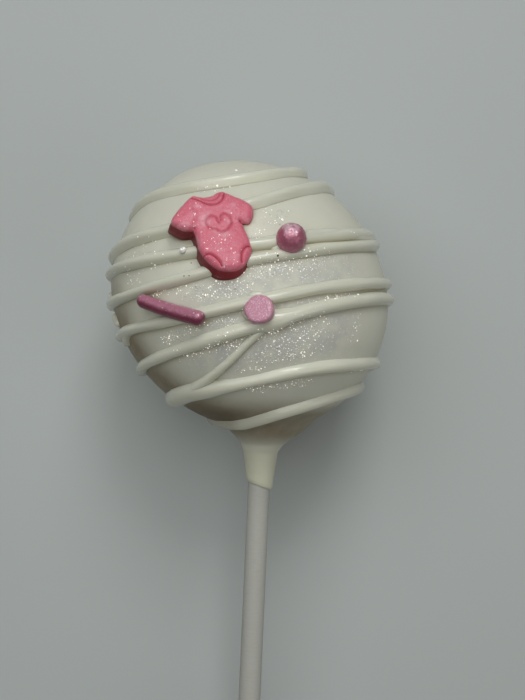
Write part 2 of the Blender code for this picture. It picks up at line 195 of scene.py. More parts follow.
def in_place(points):
    """Points of the pop's frame, in millimetres, moved to where the pop lies, in metres."""
    turn = Matrix.Rotation(LIE_ANGLE, 3, "X")
    placed = np.asarray(points, dtype=float) @ np.array(turn).T
    placed[..., 2] += LIE_HEIGHT
    return placed * MM


def ways_to(bearing, latitude):
    """Unit vectors towards spots on the ball."""
    a, b = np.radians(bearing), np.radians(latitude)
    return np.stack([np.cos(b) * np.sin(a), np.sin(b), np.cos(b) * np.cos(a)], axis=-1)


def ball_form():
    """The ball's quadratic form: x' M x is 1 on its coating."""
    slant = radians(BALL_SLANT)
    turn = np.array([[cos(slant), -sin(slant), 0], [sin(slant), cos(slant), 0], [0, 0, 1]])
    return turn @ np.diag([BALL_LONG ** -2, BALL_SHORT ** -2, BALL_DEEP ** -2]) @ turn.T


BALL_FORM = ball_form()


def flatness(way):
    """How much nearer to the ball's middle its coating is, in a direction."""
    spot, width, depth = FLAT_SIDE
    off = np.degrees(np.arccos(np.clip(way @ ways_to(*spot), -1, 1)))
    return depth * np.exp(-(off / width) ** 2)


def on_ball(bearing, latitude, lift=0.0):
    """Spots on the ball as points, lifted off the coating."""
    way = ways_to(bearing, latitude)
    reach = np.einsum("...i,ij,...j", way, BALL_FORM, way) ** -0.5
    return way * (reach + lift - flatness(way))[..., None]


def unit(vectors):
    """Vectors of the same directions, all 1 long."""
    return vectors / np.linalg.norm(vectors, axis=-1, keepdims=True)


def ball_normals(points):
    """The coating's outward normals near points."""
    return unit(np.asarray(points) @ BALL_FORM)


def unevenness(points, waves):
    """How far a handmade surface stands proud at points, from heights and widths of waves."""
    return np.array([sum(height * noise.noise(Vector(p) / width) for height, width in waves)
                     for p in points])


def bearings_round(count):
    """So many angles, evenly round a full turn."""
    return np.linspace(0, 2 * pi, count, endpoint=False)


def ease(value, low, high):
    """0 below low, 1 above high, and a smooth step between."""
    t = np.clip((np.asarray(value, dtype=float) - low) / (high - low), 0.0, 1.0)
    return t * t * (3 - 2 * t)


# Meshes

MODELS = {}


def add_piece(name, shape, finish, node="coated_ball"):
    """A closed mesh from points and faces in the pop's own frame, flat where the pop lies."""
    points, faces = shape
    placed = in_place(points)
    placed[:, 2] = placed[:, 2].clip(0)
    mesh = bpy.data.meshes.new(name)
    mesh.from_pydata(placed.tolist(), [], faces)
    work = bmesh.new()
    work.from_mesh(mesh)
    bmesh.ops.recalc_face_normals(work, faces=work.faces)
    work.to_mesh(mesh)
    work.free()
    mesh.shade_smooth()
    mesh.materials.append(finish)
    piece = bpy.data.objects.new(name, mesh)
    bpy.context.scene.collection.objects.link(piece)
    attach(piece, "root")
    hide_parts(node)
    MODELS[name] = (np.asarray(points), faces)
    return piece


def make_tube(rings):
    """Points and faces of a tube, from an array of its rings, closed by a point at each end."""
    count, sides = rings.shape[:2]
    first = count * sides
    base = first - sides
    faces = []
    for i in range(count - 1):
        for j in range(sides):
            k = (j + 1) % sides
            faces.append((i * sides + j, i * sides + k, (i + 1) * sides + k, (i + 1) * sides + j))
    for j in range(sides):
        k = (j + 1) % sides
        faces.append((first, k, j))
        faces.append((first + 1, base + j, base + k))
    return np.concatenate([rings.reshape(-1, 3), [rings[0].mean(0), rings[-1].mean(0)]]), faces


def joined(shapes):
    """Several (points, faces) as one."""
    points, faces, count = [], [], 0
    for some, their in shapes:
        points.append(some)
        faces += [tuple(i + count for i in face) for face in their]
        count += len(some)
    return np.concatenate(points), faces


def surface_of(*names):
    """A tree for finding the surface of pieces made before."""
    points, faces = joined([MODELS[name] for name in names])
    return BVHTree.FromPolygons([Vector(p) for p in points], faces)


# The ball, its foot and its lip

RING_SIDES = 288
RING_TURN = 1.1                 # degrees between rings on the ball
RING_DROP = 0.2                 # between rings on the foot
FOOT_REACH = 1.5                # how far above its shoulder the foot still shapes the coating
BLEND = 0.8


def slice_centre(y):
    """X of the middle of the ball's slice at a height."""
    return -BALL_FORM[0, 1] / BALL_FORM[0, 0] * y


def foot_centre(y):
    """X of the middle of the foot's slice at a height."""
    return STICK_X + max(0.0, y - FOOT_NECK_Y) * FOOT_LEAN


def foot_radius(y):
    """The foot's radius at a height."""
    radii, heights = zip(*reversed(FOOT_PROFILE))
    return float(np.interp(y, heights, radii))


def coating_ring(y, centre, radius=None):
    """One ring of the coating round a centre: the ball and the foot, blended."""
    turns = bearings_round(RING_SIDES)
    s, c = np.sin(turns), np.cos(turns)
    if radius is None:
        (xx, xy, _), (_, yy, _), (_, _, zz) = BALL_FORM
        square = xx * s * s + zz * c * c
        linear = 2 * s * (xx * centre + xy * y)
        rest = xx * centre ** 2 + 2 * xy * centre * y + yy * y * y - 1
        root = np.sqrt(np.clip(linear ** 2 - 4 * square * rest, 0, None))
        of_ball = np.clip((root - linear) / (2 * square), 0, None)
        off = centre - foot_centre(y)
        wide = foot_radius(y) if y < SHOULDER_Y + FOOT_REACH else 0.0
        half = wide ** 2 - (off * c) ** 2
        of_foot = np.where(half > 0, np.sqrt(np.clip(half, 0, None)) - off * s, 0).clip(0)
        blend = BLEND * ease(-y, -FOOT_TOP_Y, -SHOULDER_Y) + 1e-6
        radius = (of_ball + of_foot + np.sqrt((of_ball - of_foot) ** 2 + blend ** 2)) / 2
    return np.stack([centre + radius * s, np.full(RING_SIDES, y), radius * c], axis=1)


def build_coating(finish):
    """The coating: rings round the stick, from the crown to the lip on the stick."""
    top = (BALL_FORM[1, 1] - BALL_FORM[0, 1] ** 2 / BALL_FORM[0, 0]) ** -0.5
    lowest = np.degrees(asin(FOOT_TOP_Y / top))
    heights = [top * sin(radians(a)) for a in np.arange(89.6, lowest, -RING_TURN)]
    heights += list(np.arange(FOOT_TOP_Y, LIP_Y, -RING_DROP))
    rings = []
    for y in heights:
        share = float(ease(-y, -FOOT_TOP_Y, 1 - SHOULDER_Y))
        centre = (1 - share) * slice_centre(y) + share * foot_centre(y)
        rings.append(coating_ring(y, centre))
    rings += [coating_ring(y, STICK_X, radius) for radius, y in LIP_ROUND]
    rings = np.array(rings)
    shape = rings.reshape(-1, 3)
    shape += ball_normals(shape) * (unevenness(shape, UNEVEN) - flatness(unit(shape)))[:, None]
    below = np.clip((FOOT_NECK_Y - shape[:, 1]) / (FOOT_NECK_Y - LIP_Y), 0, 1)
    shape[:, 1] -= below * LIP_SLANT * (shape[:, 0] - STICK_X)
    add_piece("candy_coating", make_tube(rings), finish)


# The drizzle

def smooth_route(points):
    """Evenly spaced bearings on a smooth curve through (bearing, latitude) pairs."""
    known = np.array(points, dtype=float)
    slopes = np.gradient(known[:, 1], known[:, 0])
    backwards = known[-1, 0] < known[0, 0]
    if backwards:
        known, slopes = known[::-1], slopes[::-1]
    count = int(round((known[-1, 0] - known[0, 0]) / ROUTE_STEP)) + 1
    bearing = np.linspace(known[0, 0], known[-1, 0], count)
    i = np.clip(np.searchsorted(known[:, 0], bearing, side="right") - 1, 0, len(known) - 2)
    width = known[i + 1, 0] - known[i, 0]
    t = (bearing - known[i, 0]) / width
    latitude = (
        (2 * t ** 3 - 3 * t ** 2 + 1) * known[i, 1]
        + (t ** 3 - 2 * t ** 2 + t) * width * slopes[i]
        + (3 * t ** 2 - 2 * t ** 3) * known[i + 1, 1]
        + (t ** 3 - t ** 2) * width * slopes[i + 1]
    )
    route = np.stack([bearing, latitude], axis=1)
    return route[::-1] if backwards else route


def squeeze(start, turns):
    """The (bearing, latitude) pairs of one squeeze of the piping bag, turn after turn."""
    return start + [(360 * i + bearing, latitude) for i, row in enumerate(turns)
                    for bearing, latitude in zip(BEARINGS, row)]


def even_steps(route):
    """A (bearing, latitude) route with points evenly apart, and how far along the ball each is."""
    places = on_ball(route[:, 0], route[:, 1])
    along = np.concatenate([[0], np.cumsum(np.linalg.norm(np.diff(places, axis=0), axis=1))])
    marks = np.linspace(0, along[-1], int(along[-1] / STRAND_STEP) + 1)
    return np.stack([np.interp(marks, along, route[:, k]) for k in (0, 1)], axis=1), marks


def smoothed(points, times=6):
    """Points along a line, evened out a little, the two ends kept."""
    points = points.copy()
    for _ in range(times):
        points[1:-1] = (points[:-2] + 2 * points[1:-1] + points[2:]) / 4
    return points


def waver(marks, seed, length):
    """Smooth noise from -1 to 1 along a strand, with lumps of a length."""
    return np.array([1.6 * noise.noise(Vector((m / length, seed, 0.5))) for m in marks])


def strand(route, seed, width=1.0, height=1.0, spread=None):
    """Points and faces of a piped strand, its back round and its foot sunk in the coating.

    Width and height are shares of the full ones, and may be lists to vary along the strand.
    Spread is how far its edges run out on the coating, on the upper and on the lower side.
    """
    route, marks = even_steps(route)
    shares = marks / marks[-1]
    spine = smoothed(on_ball(route[:, 0], route[:, 1]))
    normal = ball_normals(spine)
    side = np.cross(normal, unit(np.gradient(spine, axis=0)))
    nose = np.clip(np.minimum(marks, marks[-1] - marks) / STRAND_HALF_WIDTH, 0, 1)
    nose = np.sqrt(1 - (1 - nose) ** 2) * 0.98 + 0.02
    wide, tall = (np.interp(shares, np.linspace(0, 1, np.size(value)), np.atleast_1d(value))
                  for value in (width, height))
    wavers = [share * waver(marks, seed + more, length) for share, more, length in STRAND_WAVERS]
    wide = wide * STRAND_HALF_WIDTH * (1 + wavers[0]) * nose
    tall = tall * STRAND_HEIGHT * (1 + wavers[1]) * nose
    if spread is None:
        bearing = (route[:, 0] + 180) % 360 - 180
        above = route[:, 1] - EDGE_SLOPE * bearing
        spread = [least + added * ease(above, *between) for least, added, *between in EDGE_SPREADS]
        lost, bearings, latitudes = LEFT_SINK
        tall = tall * (1 - lost * ease(-bearing, *bearings) * ease(route[:, 1], *latitudes))
    rings = []
    for t in np.linspace(0, pi, STRAND_ROWS):
        edge = spread[0] if t < pi / 2 else spread[1]
        out = cos(t) * (1 + edge * (1 - sin(t)) ** 3) + wavers[2] * sin(t)
        up = tall * sin(t) ** 0.92 - EDGE_SINK * (1 - sin(t)) ** 4
        rings.append(spine + side * (wide * out)[:, None] + normal * up[:, None])
    for out, down in STRAND_FOOT:
        rings.append(spine + side * (wide * out)[:, None]
                     - normal * (STRAND_DEPTH * down * nose)[:, None])
    return make_tube(np.stack(rings, axis=1))


def pool(spot, half_sizes, height, turn, seed):
    """Points and faces of a low mound of coating that gathered at a spot."""
    middle = on_ball(*spot)
    normal = ball_normals(middle)
    across = unit(np.cross((0.0, 1.0, 0.0), normal))
    along = np.cross(normal, across)
    rows = [(out, height * (1 - out ** 2) ** 0.6) for out in POOL_ROWS]
    rows += [(out, -STRAND_DEPTH) for out in POOL_FOOT]
    rings = []
    for out, rise in rows:
        ring = []
        for t in bearings_round(POOL_SIDES):
            swell = out * (1 + 0.16 * noise.noise(Vector((cos(t), sin(t), seed))))
            u, v = half_sizes[0] * swell * cos(t), half_sizes[1] * swell * sin(t)
            u, v = u * cos(turn) - v * sin(turn), u * sin(turn) + v * cos(turn)
            place = middle + across * u + along * v
            place *= (place @ BALL_FORM @ place) ** -0.5
            ring.append(place + ball_normals(place) * rise)
        rings.append(ring)
    return make_tube(np.array(rings))


def along_spots(spots, count=24):
    """A (bearing, latitude) route through a few spots, whichever way it runs."""
    spots = np.array(spots, dtype=float)
    steps = np.linspace(0, len(spots) - 1, count)
    return np.stack([np.interp(steps, np.arange(len(spots)), spots[:, k]) for k in (0, 1)], axis=1)


def thickness(route, rows, swells):
    """Shares of full width along a squeeze, from a row for each of its turns, and its swells."""
    turn = np.clip(np.round(route[:, 0] / 360).astype(int), 0, len(rows) - 1)
    bearing = np.clip(route[:, 0] - 360 * turn, -180, 180)
    share = np.array([np.interp(a, THICK_AT, rows[i]) for a, i in zip(bearing, turn)])
    for at, middle, spread, added in swells:
        share += added * np.exp(-((bearing - middle) / spread) ** 2) * (turn == at)
    return share


def build_drizzle(finish):
    """Two long squeezes of the piping bag round the ball, their branches, short runs and pools."""
    for name, start, turns, rows, swells, seed in (
        ("upper_drizzle", UPPER_START, UPPER_TURNS, UPPER_THICK, [], 3.0),
        ("lower_drizzle", LOWER_START, LOWER_TURNS, LOWER_THICK, SWELLS, 40.0),
    ):
        route, _ = even_steps(smooth_route(squeeze(start, turns)))
        share = thickness(route, rows, swells)
        add_piece(name, strand(route, seed, share, 1 + (share - 1) * TALL_SHARE), finish)
    shapes = [
        strand(smooth_route(FRONT_BRANCH), 70.0, FRONT_WIDTHS, FRONT_HEIGHTS, CRISP),
        strand(smooth_route(BACK_BRANCH), 80.0, [0.5, 1.0], [0.6, 1.0], CRISP),
    ]
    shapes += [pool(*where) for where in POOLS]
    shapes += [strand(along_spots(spots), 90.0 + i, width, height, CRISP)
               for i, (spots, width, height) in enumerate(RUNS)]
    add_piece("drizzle_branches", joined(shapes), finish)


# Sprinkles

def standing(place, way):
    """What moves a thing to a place, its Z along a way."""
    return Matrix.Translation(place) @ Vector(way).to_track_quat("Z", "Y").to_matrix().to_4x4()


def facing(spot, lift):
    """What moves a thing to a spot on the ball, its Z straight out of the coating."""
    return standing(on_ball(*spot, lift), ways_to(*spot))


def moved(matrix, points):
    """Points moved by a matrix."""
    matrix = np.array(matrix)
    return np.asarray(points) @ matrix[:3, :3].T + matrix[:3, 3]


def turned(profile, sides):
    """Points and faces of a shape turned round Z from (radius, height) pairs."""
    turns = bearings_round(sides)
    rings = [np.stack([r * np.cos(turns), r * np.sin(turns), np.full(sides, z)], axis=1)
             for r, z in profile]
    return make_tube(np.array(rings))


def dimpled(points, depth, size, seed):
    """Points pushed in and out along the line from their middle."""
    ways = unit(points - points.mean(0))
    push = [depth * noise.noise(Vector(p) / size + Vector((seed, seed, 0))) for p in points]
    return points + ways * np.array(push)[:, None]


def add_turned(name, place, profile, dimples, finish):
    """A sprinkle turned from a profile, with its dimples, at a place."""
    points, faces = turned(profile, SPRINKLE_SIDES)
    for dimple in dimples:
        points = dimpled(points, *dimple)
    add_piece(name, (moved(place, points), faces), finish)


def build_pearl(finish):
    """A sugar pearl: a ball with shallow dimples under its sheen."""
    profile = [(PEARL_RADIUS * sin(t), -PEARL_RADIUS * cos(t))
               for t in np.radians(np.arange(3, 178, 4))]
    add_turned("pearl_sprinkle", facing(PEARL_SPOT, PEARL_LIFT), profile, PEARL_DIMPLES, finish)


def build_disc(finish):
    """A confetti disc with a rounded edge and a grainy face."""
    half, flat = DISC_THICKNESS / 2, DISC_RADIUS - DISC_EDGE
    quarter = DISC_EDGE * np.stack([np.sin(np.linspace(0, pi / 2, 7)),
                                    np.cos(np.linspace(0, pi / 2, 7))], axis=1)
    profile = [(DISC_RADIUS * share, -half) for share in (0.05, 0.4, 0.75)]
    profile += [(flat + s, DISC_EDGE - half - c) for s, c in quarter]
    profile += [(flat + c, half - DISC_EDGE + s) for s, c in quarter]
    profile += [(DISC_RADIUS * share, half + 0.03) for share in np.arange(0.74, 0, -0.045)]
    lean = Matrix.Rotation(radians(-DISC_TILT), 4, "X")
    add_turned("disc_sprinkle", facing(DISC_SPOT, DISC_LIFT) @ lean, profile, DISC_DIMPLES, finish)


def build_rod(finish):
    """A rod sprinkle, slightly bent and tapered, with round ends."""
    start, end = (on_ball(*spot, ROD_LIFT) for spot in ROD_ENDS)
    start, end = start + (start - end) * ROD_PAST, end + (end - start) * ROD_PAST
    length = np.linalg.norm(end - start)
    run = unit(end - start)
    side = unit(np.cross(ball_normals((start + end) / 2), run))
    up = np.cross(run, side)
    turns = bearings_round(ROD_SIDES)
    section = np.cos(turns)[:, None] * side + np.sin(turns)[:, None] * up
    rounding = np.sin(np.linspace(0, pi / 2, ROD_ROWS[1]))
    marks = np.concatenate([ROD_CAP * (1 - rounding[::-1]),
                            np.linspace(ROD_CAP, length - ROD_CAP, ROD_ROWS[0])[1:-1],
                            length - ROD_CAP * (1 - rounding)])
    rings = []
    for along in marks:
        left = min(along, length - along, ROD_CAP) / ROD_CAP
        radius = ROD_RADIUS * (1 - ROD_TAPER * (1 - along / length))
        radius *= (1 - 0.99 * (1 - left) ** 2) ** 0.5
        middle = start + run * along + side * ROD_BEND * sin(pi * along / length)
        rings.append(middle + radius * section)
    points, faces = make_tube(np.array(rings))
    points = points + up * unevenness(points, ROD_UNEVEN)[:, None]
    add_piece("rod_sprinkle", (points, faces), finish)


# The candy bodysuit

SUIT_OUTLINE = [                # of its face, anticlockwise from the neck's left end
    (-2.3, 5.9), (-3.86, 4.73), (-5.37, 3.26), (-5.89, 2.28), (-5.25, 1.52), (-4.45, 0.9),
    (-3.56, 0.69), (-3.12, 0.35), (-2.98, -1.42), (-2.99, -2.37), (-2.67, -3.47), (-2.09, -4.62),
    (-1.13, -5.73), (0.05, -6.25), (1.4, -6.39), (2.63, -5.88), (3.62, -4.81), (4.11, -3.74),
    (4.19, -2.37), (3.95, -0.94), (3.83, 0.5), (4.64, 0.44), (5.34, 1.19), (5.75, 2.53),
    (5.11, 3.74), (3.9, 4.72), (2.66, 5.59), (2.08, 5.97), (1.3, 5.91), (0.77, 5.64),
    (0.16, 5.47), (-0.78, 5.49), (-1.48, 5.75),
]
SUIT_GROOVES = [                # (points, half width, depth)
    ([(-2.46, 5.69), (-1.85, 5.35), (-1.28, 4.92), (-0.8, 4.48), (-0.31, 4.15), (0.41, 3.98),
      (1.1, 4.1), (1.78, 4.59), (2.28, 5.6)], 0.17, 0.3),
    ([(-1.18, 5.37), (-0.69, 5.01), (0, 4.72), (0.77, 4.76), (1.33, 5.16), (1.74, 5.75)],
     0.15, 0.26),
    ([(0.48, 1.01), (0.35, 1.73), (-0.08, 2.15), (-0.64, 2.14), (-1.12, 1.66), (-1.21, 1.03),
      (-0.91, 0.44), (-0.16, 0.04), (0.66, -0.5), (1.48, -0.19), (2.14, 0.45), (2.32, 1.06),
      (2.12, 1.85), (1.6, 2.27), (1.13, 2.08), (0.83, 1.32)], 0.16, 0.26),
    ([(-2.52, -3.4), (-2.09, -3.35), (-1.57, -3.51), (-1.12, -4.01), (-0.78, -4.54),
      (-0.56, -5.05), (-0.46, -5.43)], 0.18, 0.32),
    ([(3.96, -3.13), (3.48, -3.16), (2.97, -3.54), (2.61, -4.11), (2.43, -4.7), (2.38, -5.32)],
     0.2, 0.36),
    ([(-2.55, 4.36), (-2.42, 3.36), (-2.46, 2.51), (-2.84, 1.61), (-3.23, 0.83)], 0.24, 0.17),
    ([(-3.6, 0.55), (-3.2, 0.72), (-2.95, 0.85)], 0.2, 0.5),
    ([(3.95, 0.55), (3.72, 0.72), (3.5, 1.0)], 0.2, 0.5),
]
SUIT_SHIFT = (0.06, 0.24)
SUIT_EDGE = 0.75
SUIT_PUFF = (0.35, 2.4)         # how high its face swells, and how far from the edge
SUIT_GRAIN = ((0.05, 0.9, 3.0), (0.02, 0.25, 7.0))      # heights, widths and seeds
SUIT_GRID = 0.1
SUIT_RIM_ROWS = (0.04, 0.12, 0.22)
SUIT_MARGIN = 0.3               # round the grid, which the rows near the rim take up
SUIT_WALLS = ((1.0, 1.0), (1.5, 1.015), (2.1, 1.035), (SUIT_THICKNESS, 1.06))    # drop, growth
GROOVE_STEP = 0.12
GROOVE_FULL = 0.3               # depth, and distance from the edge, at which a groove is full
EDGE_RED = (0.75, (0.25, 0.8))  # how much painted shade, a deeper red, its round edge gets, between which depths


def curve_through(points, step, closed=False):
    """Points about a step apart on a Catmull-Rom curve through points in a plane."""
    points = np.array(points, dtype=float)
    if closed:
        points = np.concatenate([points[-1:], points, points[:2]])
    else:
        points = np.concatenate([points[:1], points, points[-1:]])
    curve = []
    for a, b, c, d in zip(points, points[1:], points[2:], points[3:]):
        for t in np.linspace(0, 1, max(2, int(np.hypot(*(c - b)) / step)), endpoint=False):
            curve.append(0.5 * (2 * b + (c - a) * t + (2 * a - 5 * b + 4 * c - d) * t ** 2
                                + (3 * b - a - 3 * c + d) * t ** 3))
    if not closed:
        curve.append(points[-1])
    return np.array(curve)


def gap_to(points, line, closed=False):
    """Distances from points to a line of points in a plane."""
    ends = np.roll(line, -1, axis=0) if closed else line[1:]
    starts = line if closed else line[:-1]
    nearest = np.full(len(points), np.inf)
    for start, end in zip(starts, ends):
        run = end - start
        t = np.clip((points - start) @ run / (run @ run), 0, 1)
        nearest = np.minimum(nearest, np.hypot(*(points - start - t[:, None] * run).T))
    return nearest


def inside(points, line):
    """Whether points lie inside a closed line of points in a plane."""
    x, y = points.T
    crossed = np.zeros(len(points), dtype=bool)
    for (x0, y0), (x1, y1) in zip(line, np.roll(line, -1, axis=0)):
        if y0 != y1:
            crossed ^= ((y0 > y) != (y1 > y)) & (x < x0 + (y - y0) * (x1 - x0) / (y1 - y0))
    return crossed


def suit_place():
    """The bodysuit's frame: its face up, its neck towards +Y."""
    normal = Vector(SUIT_NORMAL).normalized()
    up = (Vector((0, 1, 0)) - normal * normal.y).normalized()
    axes = Matrix((up.cross(normal), up, normal)).transposed().to_4x4()
    return Matrix.Translation(SUIT_FACE) @ axes @ Matrix.Rotation(radians(SUIT_TURN), 4, "Z")


def suit_height(points, from_edge):
    """The bodysuit's face above its plane, and how deep each point is, 0 to 1, which sets its
    painted shade, a deeper red.

    The face has round edges, a puffed middle and its grooves.
    """
    edge = np.clip(from_edge / SUIT_EDGE, 0, 1)
    height = SUIT_EDGE * (np.sqrt(1 - (1 - edge) ** 2) - 1)
    height += SUIT_PUFF[0] * (1 - (1 - np.clip(from_edge / SUIT_PUFF[1], 0, 1)) ** 2)
    height += [sum(tall * noise.noise(Vector((x, y, seed)) / wide)
                   for tall, wide, seed in SUIT_GRAIN) for x, y in points]
    deep = np.zeros(len(points))
    for line, width, depth in SUIT_GROOVES:
        off = gap_to(points, curve_through(line, GROOVE_STEP))
        groove = np.exp(-(off / width) ** 2)
        height -= depth * groove * np.clip(from_edge / GROOVE_FULL, 0, 1)
        deep = np.maximum(deep, groove * min(1.0, depth / GROOVE_FULL))
    return height, np.maximum(deep, EDGE_RED[0] * ease(-height, *EDGE_RED[1]))


def build_bodysuit(finish):
    """The candy bodysuit: one face with its relief, walls that widen downwards, a flat back."""
    rim = curve_through(SUIT_OUTLINE, SUIT_GRID, closed=True) + SUIT_SHIFT
    low, high = rim.min(0), rim.max(0)
    grid = np.stack(np.meshgrid(np.arange(low[0], high[0], SUIT_GRID),
                                np.arange(low[1], high[1], SUIT_GRID)), axis=-1).reshape(-1, 2)
    grid = grid[inside(grid, rim)]
    grid = grid[gap_to(grid, rim, closed=True) > SUIT_MARGIN]
    run = np.roll(rim, -1, axis=0) - np.roll(rim, 1, axis=0)
    inwards = np.stack([-run[:, 1], run[:, 0]], axis=1) / np.hypot(*run.T)[:, None]
    near_rim = [grid]
    for off in SUIT_RIM_ROWS:
        shifted = rim + inwards * off
        near_rim.append(shifted[gap_to(shifted, rim, closed=True) > off * 0.9])
    flat = np.concatenate([rim] + near_rim)
    loop = [(i, (i + 1) % len(rim)) for i in range(len(rim))]
    flat, _, faces, *_ = delaunay_2d_cdt([Vector(p) for p in flat], loop, [], 1, 1e-6)
    flat = np.array([tuple(p) for p in flat])
    count, around = len(flat), len(rim)
    from_edge = gap_to(flat, rim, closed=True)
    height, deep = suit_height(flat, from_edge)
    face = np.column_stack([flat, height])
    walls = [np.column_stack([rim * grow, np.full(around, -drop)]) for drop, grow in SUIT_WALLS]
    points = moved(suit_place(), np.concatenate([face] + walls))
    faces = [tuple(f) for f in faces]
    above = list(range(around))
    for level in range(len(walls)):
        below = [count + level * around + i for i in range(around)]
        faces += [(above[i], below[i], below[(i + 1) % around], above[(i + 1) % around])
                  for i in range(around)]
        above = below
    faces.append(tuple(above))
    piece = add_piece("bodysuit", (points, faces), finish, "candy_bodysuit")
    # The walls get the full painted shade, a dark red.
    layer = piece.data.attributes.new("deep", "FLOAT", "POINT")
    layer.data.foreach_set("value", np.concatenate([deep, np.ones(around * len(walls))]))


# The stick

PAPER_STEP = 0.09               # where the paper ends at a seam
SEAM_AT = 2.6                   # its bearing beside the ball's middle, in radians
SEAM_WIND = 0.008               # radians that it winds for each millimetre down the stick
PAPER_TURNS = 7                 # of the roll, that show as grooves in the stick's end
PAPER_GROOVE = 0.05
STICK_COLUMNS = 72


def stick_ring(y, turns, share=1.0, rise=0.0):
    """A ring round the stick, or a share of one on its end."""
    past = (turns - SEAM_AT + SEAM_WIND * y) % (2 * pi) / (2 * pi)
    radii = (STICK_DIAMETER / 2 - PAPER_STEP * past) * share
    return np.stack([STICK_X + radii * np.sin(turns), y + rise * np.ones(STICK_COLUMNS),
                     radii * np.cos(turns)], axis=1)


def build_stick(finish):
    """The rolled paper stick, its seam winding slowly, its end showing the roll."""
    turns = bearings_round(STICK_COLUMNS)
    end_y = STICK_TIP_Y - STICK_LENGTH
    rings = [stick_ring(y, turns) for y in np.linspace(STICK_TIP_Y, end_y + STICK_EDGE, 90)]
    for share in (0.97, 0.93, *np.linspace(0.88, 0.05, 26)):
        groove = PAPER_GROOVE * np.cos(2 * pi * share * PAPER_TURNS - turns) * (share < 0.93)
        rings.append(stick_ring(end_y, turns, share, groove + max(0, share - 0.9) * 1.2))
    add_piece("paper_stick_roll", make_tube(np.array(rings)), finish, "paper_stick")


# Glitter, dark specks and sugar beads

GLITTER = [                     # bearing, latitude, half width, half height, plates
    (14.9, 10.1, 17.4, 4.1, 230), (10.6, 8.6, 1.4, 3.5, 30), (5.3, 7.1, 4.6, 3.5, 60),
    (-14.3, -1.8, 10.4, 2.9, 170), (-4.9, -0.4, 7.0, 2.9, 90), (-31.4, -2.2, 7.0, 1.7, 22),
    (18.7, -14.4, 13.9, 7.0, 210), (25.1, -14.0, 3.5, 2.9, 40), (10.3, -17.3, 1.7, 2.3, 26),
    (-5.7, -20.6, 7.0, 4.6, 100), (-8.3, -21.4, 1.6, 0.9, 22), (17.8, -24.4, 13.9, 2.9, 110),
    (-32.3, -20.5, 5.8, 2.3, 55), (-21.2, -16.3, 7.0, 1.7, 28), (-10.0, -14.0, 5.2, 1.6, 55),
    (-1.7, -8.9, 0.9, 0.9, 24), (8.0, -41.1, 5.8, 2.9, 46), (24.9, -38.2, 10.4, 2.3, 44),
    (15.2, 31.7, 4.1, 1.7, 26), (7.8, 29.4, 8.1, 5.8, 26), (-50.3, 3.9, 5.2, 4.1, 18),
    (-36.8, 9.7, 7.0, 3.5, 18), (-21.6, 42.6, 10.4, 4.1, 18), (44.9, 24.0, 7.0, 2.1, 22),
    (34.9, -2.2, 10.4, 1.2, 48), (2.7, 20.6, 1.9, 2.8, 24), (55.9, -29.2, 7.0, 1.7, 16),
    (48.2, -12.8, 4.6, 5.2, 16), (-46.7, 14.7, 5.8, 3.5, 10), (-26.0, -26.9, 7.0, 3.5, 22),
    (2.5, -32.2, 5.8, 1.4, 20), (-12.0, -22.5, 7.0, 3.0, 60),
]
GLITTER_SHARE = 1.5
GLITTER_SPREAD = 1.15
GLITTER_CROWDING = 0.62         # below 1 it thins out towards the edge of its patch
GLITTER_STRAND_LIFT = 0.45
GLITTER_ON_STRANDS = 0.22
GLITTER_APART = 0.28
GLITTER_SIZES = (0.055, 0.032, 0.2)     # least radius, what is added on average, most
SUIT_GLITTER_SIZES = (0.055, 0.022, 0.13)
GLITTER_SLOPE = 0.2
PLATE_SIDES = 6
PLATE_TILT = 0.34
PLATE_RISE = (0.0, 0.15, 0.5)   # flakes tend to face the side that was dusted
PLATE_FACES = (0.035, -0.03)    # heights of its top and its bottom
SUIT_GLITTER = [                # (x, y) on the bodysuit's face, spread, plates
    ((-2.0, 4.5), 0.05, 2), ((-0.5, 3.6), 0.05, 2), ((-1.5, 3.9), 0.05, 1), ((3.1, 2.8), 0.05, 2),
    ((3.7, 3.3), 0.05, 1), ((3.6, 1.6), 0.05, 1), ((2.5, 2.1), 0.05, 1), ((-1.6, 2.0), 0.05, 1),
    ((-2.1, 0.1), 0.1, 3), ((-1.2, -1.7), 0.6, 6), ((-0.5, -2.5), 0.45, 14),
    ((-0.6, -3.3), 0.08, 3), ((-1.9, -2.7), 0.08, 3), ((0.4, -1.3), 0.3, 5), ((1.1, -1.3), 0.25, 4),
    ((0.9, -2.4), 0.4, 7), ((0.2, -3.3), 0.05, 1), ((0.3, -4.8), 0.08, 3), ((-0.2, -5.6), 0.08, 3),
    ((1.1, -5.7), 0.2, 2), ((-0.8, -1.2), 0.1, 2), ((1.0, -4.6), 1.2, 14), ((-4.6, 2.2), 0.05, 1),
    ((-4.2, 1.4), 0.05, 1), ((-4.7, 3.2), 0.05, 1), ((-2.9, 1.1), 0.15, 4), ((-2.8, 1.8), 0.1, 2),
    ((-2.4, 2.9), 0.15, 3), ((-0.6, 1.2), 1.5, 8),
]
SPECKS = [                      # spot, radius, and the depth, width and seed of its dimples
    ((10.6, 11.9), 0.15, (0.08, 0.15, 0.0)), ((-23.6, 3.1), 0.1, (0.08, 0.15, 1.0)),
    ((-22.4, 8.6), 0.08, (0.08, 0.15, 2.0)), ((-21.6, 3.4), 0.07, (0.08, 0.15, 3.0)),
    ((-26.8, -41.4), 0.12, (0.08, 0.15, 4.0)),
]
SPECK_SIDES = 14
SPECK_PROFILE = [(sin(t), -0.45 * cos(t)) for t in np.linspace(0.1, pi - 0.1, 9)]
BEADS = [((-24.8, 12.4), 0.48, (0.0624, 0.4, 1.0)), ((-13.2, 57.4), 0.3, (0.039, 0.4, 1.0))]
BEAD_SIDES = 28
BEAD_PROFILE = [(sin(t), -0.78 * cos(t)) for t in np.linspace(0.1, 0.86 * pi, 16)]
BEAD_PROFILE += [(0.3, 0.52), (0.15, 0.41), (0.02, 0.39)]      # the dimple in its top
BEAD_LIFT = 0.3
